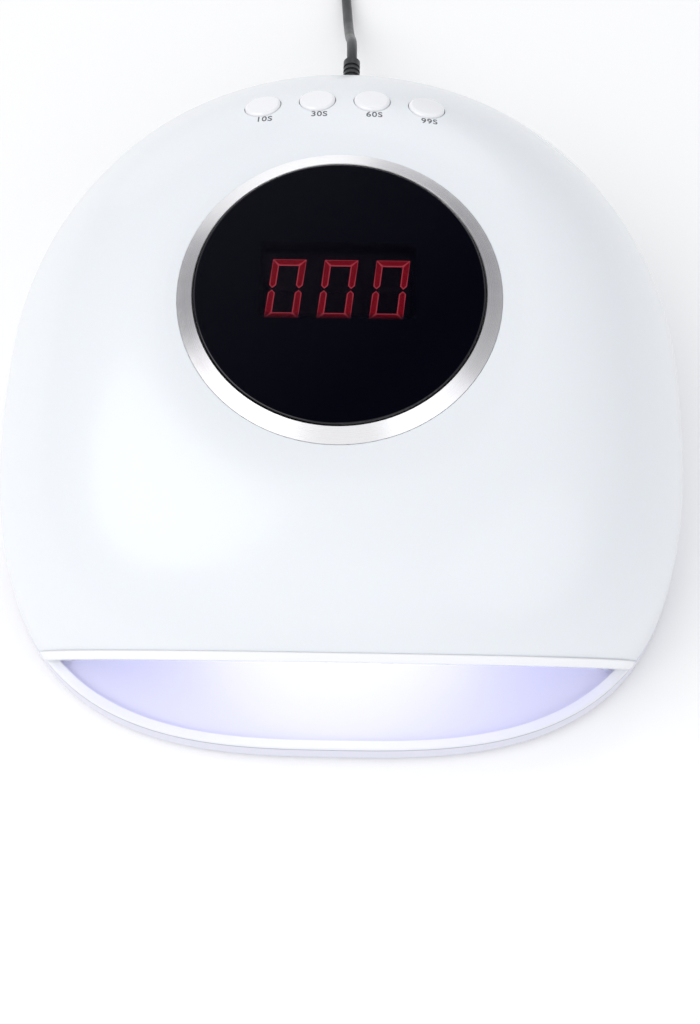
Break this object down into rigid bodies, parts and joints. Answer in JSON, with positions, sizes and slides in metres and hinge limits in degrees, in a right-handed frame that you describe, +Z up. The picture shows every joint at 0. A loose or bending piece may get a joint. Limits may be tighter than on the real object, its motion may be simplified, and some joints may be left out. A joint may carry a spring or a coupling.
{
  "type": "uv led nail lamp",
  "caption": "Domed nail curing lamp with a hand opening, LED reflector, round display, timer buttons, magnetic base and plug-in lead.",
  "frame": {"origin": "on the table, under the middle of the base's outline, at the foot ring's underside", "axes": "+Z up, the hand goes in from -Y, the power lead leaves at +Y, +X to the user's right"},
  "size_m": [0.2, 0.3391, 0.0944],
  "materials": {
    "white_shell": "glossy white ABS, faint lavender cast",
    "white_trim": "glossy white ABS",
    "liner_white": "white reflective ABS, lightly textured",
    "tray_white": "white ABS, satin floor",
    "bezel_metal": "satin silver ring, fine turned lines",
    "smoked_window": "smoked clear acrylic",
    "foam_black": "black adhesive foam",
    "module_black": "matte black display face",
    "segment_red": "red lit segments, emissive",
    "segment_dark": "unlit smoked segments",
    "board_green": "solder-masked glass-fibre board",
    "board_white": "white-masked aluminium-core LED board",
    "chip_black": "moulded epoxy",
    "capacitor_can": "sleeved can",
    "connector_white": "nylon",
    "button_white": "glossy white ABS caps",
    "switch_black": "moulded black",
    "led_lens": "clear epoxy lens, violet light",
    "sensor_dark": "dark infrared-clear epoxy",
    "ribbon_grey": "grey flat cable",
    "wire_red": "PVC insulation",
    "wire_black": "PVC insulation",
    "jack_black": "black moulded inlet",
    "contact_metal": "nickel plate",
    "screw_steel": "zinc-plated steel",
    "magnet_nickel": "nickel-plated magnet",
    "cord_black": "dark grey PVC lead",
    "copper": "bare copper strands",
    "foot_rubber": "soft grey silicone"
  },
  "bodies": {
    "base": {"base_tray": "tray_white", "tray_magnets": "magnet_nickel", "foot_ring": "foot_rubber"},
    "housing": {"upper_shell": "white_shell", "mouth_trim": "white_trim", "reflector_liner": "liner_white", "bezel_ring": "bezel_metal", "display_window": "smoked_window", "window_adhesive": "foam_black", "display_module": "module_black", "lit_segments": "segment_red", "dark_segments": "segment_dark", "control_board": "board_green", "controller_chip": "chip_black", "driver_transistors": "chip_black", "capacitors": "capacitor_can", "board_connectors": "connector_white", "button_board": "board_green", "switch_bodies": "switch_black", "ceiling_led_board": "board_white", "ceiling_leds": "led_lens", "left_led_board": "board_white", "left_leds": "led_lens", "right_led_board": "board_white", "right_leds": "led_lens", "sensor_board": "board_green", "hand_sensors": "sensor_dark", "button_ribbon": "ribbon_grey", "power_wires": "wire_red", "led_wires": "wire_black", "dc_jack": "jack_black", "jack_centre_pin": "contact_metal", "jack_nut": "contact_metal", "housing_screws": "screw_steel", "board_screws": "screw_steel", "housing_magnets": "magnet_nickel"},
    "button_10s": {"button_cap_10s": "button_white", "switch_plunger_10s": "switch_black"},
    "button_30s": {"button_cap_30s": "button_white", "switch_plunger_30s": "switch_black"},
    "button_60s": {"button_cap_60s": "button_white", "switch_plunger_60s": "switch_black"},
    "button_99s": {"button_cap_99s": "button_white", "switch_plunger_99s": "switch_black"},
    "plug": {"plug_grip": "cord_black", "plug_barrel": "contact_metal", "plug_insulator": "jack_black", "power_cord": "cord_black", "cord_cores": "copper"}
  },
  "joints": [
    {"name": "housing_lift", "type": "slide", "parent": "base", "child": "housing", "axis": [0, 0, 1], "range_m": [0, 0.06]},
    {"name": "press_10s", "type": "slide", "parent": "housing", "child": "button_10s", "axis": [0, -0.3256, -0.9455], "range_m": [0, 0.0006], "stiffness_N_per_m": 1500},
    {"name": "press_30s", "type": "slide", "parent": "housing", "child": "button_30s", "axis": [0, -0.3256, -0.9455], "range_m": [0, 0.0006], "stiffness_N_per_m": 1500},
    {"name": "press_60s", "type": "slide", "parent": "housing", "child": "button_60s", "axis": [0, -0.3256, -0.9455], "range_m": [0, 0.0006], "stiffness_N_per_m": 1500},
    {"name": "press_99s", "type": "slide", "parent": "housing", "child": "button_99s", "axis": [0, -0.3256, -0.9455], "range_m": [0, 0.0006], "stiffness_N_per_m": 1500},
    {"name": "plug_pull", "type": "slide", "parent": "housing", "child": "plug", "axis": [0, 1, 0], "range_m": [0, 0.03]}
  ]
}
